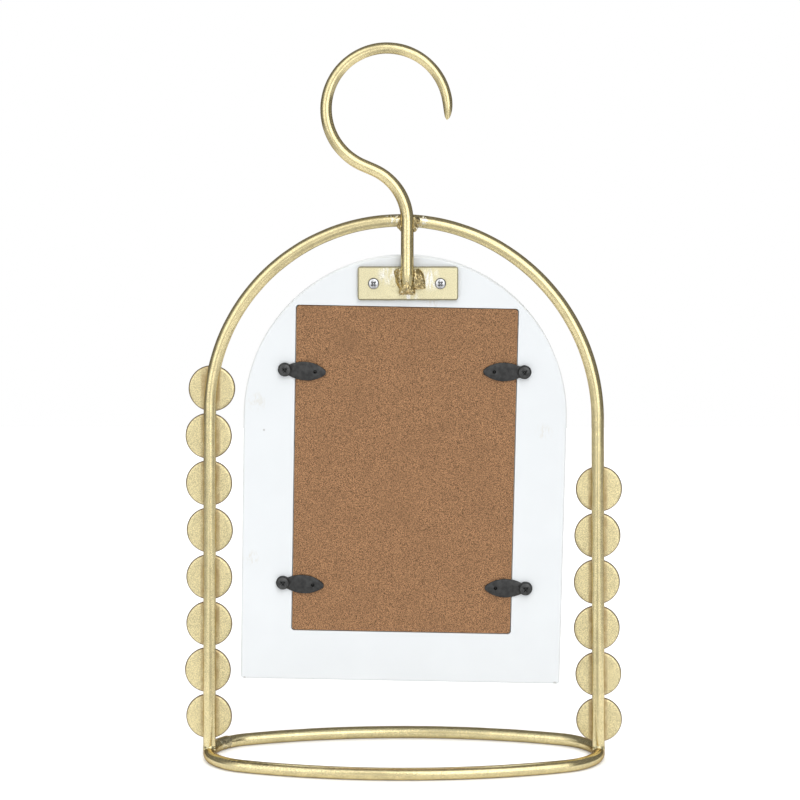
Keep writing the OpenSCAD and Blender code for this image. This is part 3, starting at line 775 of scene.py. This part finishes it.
class PICTURE_OT_rods(bpy.types.Operator):
    """Make the bent rods of the stand"""

    bl_idname = "picture.rods"
    bl_label = "Make the Rods"

    # The straight part of a leg, the height of the hook's cut foot and how far the hook's rod
    # lies behind the arch, in mm
    straight, hook_foot, hook_depth = 161, 226.6, 6.1

    # Bends, as the middle's place and the radius to the middle of the rod, in mm
    left_shoulder, right_shoulder = (1.5, 168.4, 89.8), (4.35, 163.46, 95.5)
    neck, loop = (24.5, 258.4, 26), (7.9, 310.175, 28.1)
    ring_side = (0, -181.6, 219.6)

    # Where one shoulder and where one of the ring's ends runs on into the next bend, in degrees
    shoulder_turn, ring_turn = 120, 69.72

    # How far each leg leans in for each mm that it rises
    left_lean, right_lean = 1.7 / 166.4, 1.95 / 161.6

    def execute(self, context):
        paint, shape = context.scene.frame_paint, context.scene.frame_shape
        gilt = rod_paint(paint)
        rod = shape.rod / 2 / MM
        arch = self.make_arch(rod)
        hook = self.make_hook(rod, shape.hook_tip)
        ring = self.make_ring(rod)
        for piece, node in ((arch, "arch_rod"), (hook, "hook_rod"), (ring, "base_ring")):
            ripple(piece, 9 * MM, shape.rod_wave, 2.0, -1.0)
            fit(piece, gilt, "stand", node)
        return {"FINISHED"}

    def upright(self, name, line, thickness, y):
        """A rod along a line of (x, z) points at one depth."""
        return sweep(name, line, thickness, lambda x, z: Vector((x, y, z)), Vector((0, 1, 0)))

    def make_arch(self, rod):
        rises = [self.straight * k / 80 for k in range(80)]
        line = [(FOOT - self.left_lean * rise, BASE + rise) for rise in rises]
        line += bend(*self.left_shoulder, 0.63, self.shoulder_turn)
        line += bend(*self.right_shoulder, self.shoulder_turn, 179.3)[1:]
        line += [(self.right_lean * rise - FOOT, BASE + rise) for rise in reversed(rises[:-1])]
        return self.upright("bent_arch", line, lambda k: rod, 0)

    def make_hook(self, rod, tip):
        line = [(STEM, self.hook_foot + 2 * k) for k in range(16)] + bend(*self.neck, 180, 113.5)
        line += bend(*self.loop, -66.5, 190, 1.0)

        def thickness(k):
            """Rounded at its cut foot, slimmer past the neck and toward the end, with a nose."""
            left = 1 - k / (len(line) - 1)
            slim = 1 - 0.12 * min(1.0, max(0.0, (0.9 - left) / 0.4)) - 0.1 * max(0.0, 1 - left / 0.25)
            nose = sqrt(1 - (1 - min(1.0, left / tip)) ** 2.4)
            return max(0.2, rod * slim * nose * (0.62 + 0.38 * min(1.0, (k + 1) / 4)))

        return self.upright("bent_hook", line, thickness, self.hook_depth)

    def make_ring(self, rod):
        turn = self.ring_turn
        x, y, radius = RING_END
        side = bend(*self.ring_side, turn, 180 - turn)[1:-1]
        line = [*bend(x, y, radius, -turn, turn), *side, *bend(-x, y, radius, 180 - turn, 180 + turn),
                *((-x, -y) for x, y in side)]
        return sweep("bent_ring", line, lambda k: rod, lambda x, y: Vector((x, y, BASE)),
                     Vector((0, 0, 1)), True)


class PICTURE_OT_discs(bpy.types.Operator):
    """Make the pressed discs of both rows"""

    bl_idname = "picture.discs"
    bl_label = "Make the Discs"

    def execute(self, context):
        shape, paint = context.scene.frame_shape, context.scene.frame_paint
        gilt = disc_paint(paint)
        turns = [pi * k / 20 - pi / 2 for k in range(21)]
        for number, node in enumerate(sorted(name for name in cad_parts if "_disc_" in name)):
            low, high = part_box(node)
            radius, half, rim = (high.x - low.x) / 2, (high.y - low.y) / 2, shape.disc_rim
            flat = [(radius - rim) * k / 12 for k in range(12)]
            edge = [(radius - rim + rim * cos(a), half + half * sin(a)) for a in turns]
            outline = [(r, 0) for r in flat] + edge + [(r, 2 * half) for r in reversed(flat)]
            middle = (low + high) / 2
            where = Matrix.Translation((middle.x, low.y, middle.z)) @ FACING
            piece = lathe(node.replace("_disc_", "_pressed_disc_"), outline, 96, where)
            ripple(piece, 7 * MM, shape.disc_wave, number, -0.5)
            fit(piece, gilt, "stand", node)
        return {"FINISHED"}


class PICTURE_OT_welds(bpy.types.Operator):
    """Lay the weld beads"""

    bl_idname = "picture.welds"
    bl_label = "Lay the Welds"

    # Heights of the middles of the two beads beside the hook's stem, in mm
    arch_height, plate_height = 258.2, 229

    # Their lumps as x, y, z from there and radius, in mm, in groups that are each wrapped tight
    arch_lumps = (
        [(2.4, 3.9, 0.6, 1.1), (3.2, 2.8, 0.4, 0.7), (2.7, 3.3, -4.6, 0.5), (4.4, 1.7, -2.9, 0.5),
         (2.7, 4.8, 1.7, 0.5)],
        [(4.6, 2.4, 1.4, 0.5), (5.6, 2.4, 1.7, 0.4), (4.2, 2.3, 2.4, 0.5)],
        [(7.0, 2.2, 1.7, 0.4), (7.8, 2.2, 1.9, 0.32), (6.9, 1.9, 2.2, 0.34)],
        [(9.2, 1.9, 1.8, 0.32), (9.0, 2.3, 1.2, 0.28)],
        [(-2.6, 3.9, 0.4, 1.6), (-4.4, 3.4, 1.0, 1.0), (-5.6, 2.5, 0.6, 0.7), (-4.7, 2.5, -2.9, 0.6),
         (-2.8, 3.4, -4.6, 0.7), (-3.6, 1.9, -4.6, 0.6), (-3.2, 4.8, 1.8, 0.7)],
        [(-6.8, 2.4, 1.6, 0.4), (-7.6, 2.1, 1.9, 0.32), (-6.9, 2.6, 0.6, 0.34)],
        [(-8.4, 2.0, 1.6, 0.3), (-8.9, 2.2, 1.1, 0.28)],
        [(2.0, 3.0, 0, 1.4), (-2.0, 3.0, 0, 1.4)])
    plate_lumps = (
        [(5.9, 3.4, 5.5, 0.5), (3.4, 6.4, 6.6, 0.5), (4.6, 4.9, 6.9, 0.35), (4.8, 3.4, 0.2, 0.5),
         (3.2, 6.0, -0.8, 0.6), (3.6, 3.6, -1.9, 0.5)],
        [(5.4, 4.6, 6.0, 0.3), (4.9, 4.8, 4.2, 0.3), (4.2, 6.0, 5.8, 0.3)],
        [(-3.8, 6.4, 6.4, 0.5), (-5.2, 4.6, 7.0, 0.35), (-7.3, 3.3, 4.4, 0.5), (-8.1, 3.2, 0.4, 0.45),
         (-8.2, 3.1, -2.3, 0.4), (-3.3, 6.0, 0.2, 0.6), (-4.0, 4.2, -2.3, 0.5), (-6.0, 4.6, 2.2, 0.4)],
        [(-5.6, 5.1, 6.0, 0.3), (-6.6, 5.0, 3.6, 0.3), (-7.4, 4.4, 0.8, 0.3)],
        [(-3.6, 6.6, 4.6, 0.4), (-4.6, 5.8, 2.6, 0.4), (-4.2, 5.6, -0.6, 0.4)],
        [(0.1, 8.7, 1.8, 0.3), (-3.5, 3.3, -4.8, 0.35), (3.7, 3.3, -4.8, 0.35), (-3.4, 6.9, -4.5, 0.3),
         (3.6, 6.9, -4.5, 0.3), (0.1, 6.1, 2.0, 1.2), (-2.8, 6.0, 0.2, 0.3), (2.8, 6.0, 0.2, 0.3),
         (0.2, 8.6, -2.2, 0.3)],
        [(-8.6, 3.1, 3.2, 0.25), (-9.0, 3.1, 1.0, 0.22)],
        [(6.9, 3.1, 1.4, 0.3), (7.3, 3.1, 0.6, 0.25)],
        [(5.8, 3.1, -0.9, 0.3), (6.6, 3.1, -1.4, 0.25)],
        [(7.6, 3.05, 2.6, 0.2)])

    def execute(self, context):
        shape, paint = context.scene.frame_shape, context.scene.frame_paint
        bead = weld_paint(paint, "weld bead paint", paint.bead)
        seam = weld_paint(paint, "foot seam paint", paint.disc)
        scraped = weld_paint(paint, "ring joint paint", paint.joint)
        arch = lumps("arch_weld_bead", (STEM, 0, self.arch_height), *self.arch_lumps)
        plate = lumps("plate_weld_bead", (STEM, 0, self.plate_height), *self.plate_lumps)
        for seed, (piece, node) in enumerate(((arch, "hook_arch_weld"), (plate, "hook_plate_weld"))):
            even_out(piece, shape.weld_grain, 1)
            ripple(piece, 1.1 * MM, shape.weld_depth, seed, -0.3)
            ripple(piece, 0.45 * MM, shape.weld_depth / 3, seed + 5, 0.0)
            fit(piece, bead, "stand", node)
        line = bend(*RING_END, -47, -28, 0.3)
        last = len(line) - 1

        def thickness(k):
            """Thinner over its first and last millimetre."""
            return 3.12 - 0.25 * max(0, 1 - k / 3, 1 - (last - k) / 3)

        joint = sweep("ring_joint_bead", line, thickness, lambda x, y: Vector((x, y, BASE + 0.2)),
                      Vector((0, 0, 1)))
        fit(ripple(joint, 2 * MM, 0.1 * MM, 4.0), scraped, "stand", "ring_joint_weld")
        for seed, side in enumerate(SIDES):
            x = FOOT if side == "left" else -FOOT
            piece = lumps(side + "_foot_bead", (x, 0, 0), [(0, 0.1, 6.2, 3.02), (0, 0.5, 4.9, 3.12)])
            even_out(piece, shape.weld_grain, 2)
            ripple(piece, 0.9 * MM, 0.12 * MM, seed)
            fit(piece, seam, "stand", side + "_foot_weld")
        return {"FINISHED"}


class PICTURE_OT_bracket(bpy.types.Operator):
    """Make the bracket plate and its screws"""

    bl_idname = "picture.bracket"
    bl_label = "Make the Bracket"

    def execute(self, context):
        paint = context.scene.frame_paint
        plate = even_out(copy_of("bracket_plate", "heat_marked_plate"), 0.28 * MM, 2)
        low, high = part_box("bracket_plate")
        for vertex in plate.data.vertices:
            self.warp(vertex.co, low, high)
        fit(plate, plate_paint(paint), "stand", "bracket_plate")
        zinc = bright_zinc(paint)
        for side in SIDES:
            node = side + "_bracket_screw"
            fit(cross_screw(node + "_domed", node, 5.2 * MM, high.y), zinc, "stand", node)
        return {"FINISHED"}

    def warp(self, place, low, high):
        """Draws the plate out of true where the weld's heat and the press left it so."""
        wave = noise.noise(Vector((place.x, 0.0, 0.0)) / (5 * MM))
        down = (high.z - place.z) / (high.z - low.z)
        place.z += (0.12 * MM * wave - 0.1 * MM) * down ** 4
        if place.y > (low.y + high.y) / 2:
            swell = noise.noise(place / (6 * MM))
            heat = max(0.0, 1.0 - abs(place.x - STEM * MM) / (13 * MM))
            place.y -= (0.03 + 0.1 * heat) * MM * (0.5 + 0.5 * swell)


class PICTURE_OT_board(bpy.types.Operator):
    """Finish the board, its glass, card and hardboard back"""

    bl_idname = "picture.board"
    bl_label = "Finish the Board"

    def execute(self, context):
        paint = context.scene.frame_paint
        dress("board", white_paint(paint))
        dress("glass_pane", clear_glass(paint))
        dress("blank_card", white_card(paint))
        dress("backing_board", brown_hardboard(paint))
        return {"FINISHED"}


class PICTURE_OT_buttons(bpy.types.Operator):
    """Make the turn buttons and their screws"""

    bl_idname = "picture.buttons"
    bl_label = "Make the Turn Buttons"

    # How far each leaf points away from its rest line, in degrees
    slack = {"upper_left": -4.3, "upper_right": -0.7, "lower_left": -4.3, "lower_right": -0.8}

    def execute(self, context):
        shape, paint = context.scene.frame_shape, context.scene.frame_paint
        black = black_steel(paint, "black steel", 0.5)
        satin = black_steel(paint, "black screw", 0.36, (0.5, 0.85), 1.5)
        for name, slack in self.slack.items():
            screw, leaf = name + "_button_screw", name + "_turn_button"
            low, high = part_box(screw)
            bottom, top = (corner.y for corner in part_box(leaf))
            turn = radians(slack + (180 if "left" in name else 0))
            where = (Matrix.Translation(((low.x + high.x) / 2, 0, (low.z + high.z) / 2))
                     @ Matrix.Rotation(turn, 4, "Y") @ FACING)
            piece = self.make_leaf(leaf + "_leaf", shape, bottom, top, where)
            fit(piece, black, name + "_button", leaf)
            fit(cross_screw(screw + "_domed", screw, 6.2 * MM, top + 0.15 * MM), satin, "stand",
                screw)
        return {"FINISHED"}

    def half_width(self, shape, x):
        """Half the leaf's width at a distance from its screw."""
        half, tip, tip_x = shape.leaf_width / 2, shape.leaf_tip, shape.leaf_length - shape.leaf_tip
        reach = tip_x - shape.leaf_waist
        nose = (reach ** 2 + half ** 2 - tip ** 2) / (2 * (half - tip))
        widths = [sqrt(max(0.0, (shape.leaf_eye / 2) ** 2 - x * x)),
                  sqrt(max(0.0, tip ** 2 - (x - tip_x) ** 2))]
        if 0 <= x < tip_x + tip * reach / (nose - tip):
            curve = 2 * shape.leaf_width if x < shape.leaf_waist else nose
            widths.append(half - curve + sqrt(curve ** 2 - (x - shape.leaf_waist) ** 2))
        return max(widths)

    def make_leaf(self, name, shape, bottom, top, where):
        """A crowned leaf with its screw's hole and the small pit near its tip."""
        eye, tip = shape.leaf_eye / 2, shape.leaf_tip
        tip_x = shape.leaf_length - tip
        stations = [-eye * cos(pi / 2 * k / 12) for k in range(1, 13)]
        stations += [tip_x * k / 60 for k in range(1, 61)]
        stations += [tip_x + tip * sin(pi / 2 * k / 8) for k in range(1, 8)]
        edge = [(x, self.half_width(shape, x)) for x in stations]
        outline = [(-eye, 0.0), *edge, (shape.leaf_length, 0.0), *((x, -w) for x, w in reversed(edge))]
        piece = prism(name, outline, bottom, top, where)
        even_out(piece, 0.16 * MM, 3)
        back = where.inverted()
        for vertex in piece.data.vertices:
            place = back @ vertex.co
            share = min(1.0, abs(place.y) / max(self.half_width(shape, place.x), MM))
            lift = (place.z - bottom) / (top - bottom)
            vertex.co.y -= shape.leaf_crown * share ** 2.4 * lift
        ripple(piece, 1.4 * MM, 0.05 * MM, 3.0, -0.4)
        hole = [(0, bottom - MM), (1.4 * MM, bottom - MM), (1.4 * MM, top + MM), (0, top + MM)]
        carve(piece, lathe("eye", hole, 48, where))
        pit, deep = shape.leaf_hole / 2, top - 0.8 * (top - bottom)
        cone = [(0, deep), (0.4 * pit, deep), (1.1 * pit, top), (1.1 * pit, top + MM), (0, top + MM)]
        where = where @ Matrix.Translation((shape.leaf_hole_place, 0, 0))
        return carve(piece, lathe("pit", cone, 32, where))


class PICTURE_OT_studio(bpy.types.Operator):
    """Set up the floor, the soft light and the camera"""

    bl_idname = "picture.studio"
    bl_label = "Set Up the Studio"

    # How far the camera stands to the left of the middle, in metres
    aside = 0.001887

    def execute(self, context):
        studio = context.scene.frame_studio
        self.lay_floor(studio)
        self.light_room(context, studio)
        self.hang_light("key light", studio.key, radians(38), radians(14), radians(40))
        self.hang_light("top light", studio.top, radians(80), radians(60), radians(60))
        self.hang_light("front light", studio.front, radians(40), radians(200), radians(60))
        self.place_camera(context, studio)
        context.scene.view_settings.view_transform = "Standard"
        return {"FINISHED"}

    def lay_floor(self, studio):
        """A pale floor. The camera sees it white, and metal sees it dimmer in a strip before
        and behind the frame and far out at both sides."""
        bm = bmesh.new()
        bmesh.ops.create_grid(bm, x_segments=1, y_segments=1, size=1.0)
        floor = loose("floor", bm)

        def paint(tree):
            across, along = tree.part("X"), tree.part("Y")
            middle, near, far = (0.11, 0.07), (0.06, 0.12), (1.0, 0.8)
            strip = tree.apart(across, *middle) * tree.apart(along, *near) * tree.apart(along, *far)
            dim = (strip + tree.apart(across, 0.25, 0.4)) * tree.ray("Is Glossy Ray")
            return {
                "Base Color": tree.blend(dim, studio.floor[:], studio.surround[:]),
                "Roughness": 0.9,
                "Specular IOR Level": 0.1,
                "Emission Color": tree.blend(tree.ray("Is Camera Ray"), (0.0, 0.0, 0.0),
                                             (0.25, 0.25, 0.25)),
                "Emission Strength": 1.0,
            }

        floor.data.materials.append(surface("pale floor", studio.floor, paint))
        floor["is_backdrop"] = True

    def light_room(self, context, studio):
        """Metal sees a dim room with a broad glow behind the camera and a white backdrop.
        The camera sees plain white all round."""
        world = bpy.data.worlds.new("studio")
        context.scene.world = world
        tree = Tree(world)
        seen = tree.ray("Is Camera Ray") + tree.ray("Is Transmission Ray")
        panels = tree.panel(26, 20, -40, 54) + tree.panel(-38, 16, -40, 54) * 0.62
        glow = tree.patch(16, -18, 46, 66) * studio.glow
        backdrop = tree.patch(0, 180, 10, 25) * (1.0 - studio.room)
        shown = (panels * studio.panel + backdrop) * tree.ray("Is Glossy Ray")
        level = (glow + shown + studio.room) * (1.0 - seen) + seen
        light = tree.add("ShaderNodeBackground", None, (1.0, 1.0, 1.0), level)
        tree.add("ShaderNodeOutputWorld", None, light)

    def hang_light(self, name, strength, height, swing, spread):
        """A soft light at a height above the horizon, swung round from +Y toward -X. Metal
        doesn't show it."""
        data = bpy.data.lights.new(name, "SUN")
        data.energy, data.angle = strength, spread
        lamp = bpy.data.objects.new(name, data)
        bpy.context.scene.collection.objects.link(lamp)
        toward = Vector(direction(height, swing))
        lamp.rotation_euler = toward.to_track_quat("Z", "Y").to_euler()
        lamp.location = toward * 2.0
        lamp.visible_glossy = False

    def place_camera(self, context, studio):
        data = bpy.data.cameras.new("camera")
        data.lens, data.sensor_width = studio.lens, 36.0
        data.dof.use_dof = False
        camera = bpy.data.objects.new("camera", data)
        context.scene.collection.objects.link(camera)
        camera.location = (self.aside, studio.distance, studio.height)
        camera.rotation_euler = (pi / 2 - studio.pitch, 0.0, pi)
        context.scene.camera = camera


class PICTURE_PT_panel(bpy.types.Panel):
    """The steps in order, with their settings"""

    bl_idname = "PICTURE_PT_panel"
    bl_label = "Picture Frame"
    bl_space_type = "VIEW_3D"
    bl_region_type = "UI"
    bl_category = "Picture Frame"

    def draw(self, context):
        layout = self.layout
        scene = context.scene
        for group in (scene.frame_paint, scene.frame_shape, scene.frame_studio):
            box = layout.box()
            for name in group.__annotations__:
                box.prop(group, name)
        for step in STEPS:
            layout.operator(step.bl_idname)


STEPS = (PICTURE_OT_rods, PICTURE_OT_discs, PICTURE_OT_welds, PICTURE_OT_bracket,
         PICTURE_OT_board, PICTURE_OT_buttons, PICTURE_OT_studio)
CLASSES = (PaintSettings, ShapeSettings, StudioSettings, *STEPS, PICTURE_PT_panel)


def register():
    for entry in CLASSES:
        bpy.utils.register_class(entry)
    bpy.types.Scene.frame_paint = PointerProperty(type=PaintSettings)
    bpy.types.Scene.frame_shape = PointerProperty(type=ShapeSettings)
    bpy.types.Scene.frame_studio = PointerProperty(type=StudioSettings)


def unregister():
    del bpy.types.Scene.frame_studio
    del bpy.types.Scene.frame_shape
    del bpy.types.Scene.frame_paint
    for entry in reversed(CLASSES):
        bpy.utils.unregister_class(entry)


def main():
    register()
    cad_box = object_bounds()
    for step in STEPS:
        group, name = step.bl_idname.split(".")
        getattr(getattr(bpy.ops, group), name)()
    full_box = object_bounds()
    [[list(corner) for corner in box] for box in (cad_box, full_box)]


if __name__ == "__main__":
    main()
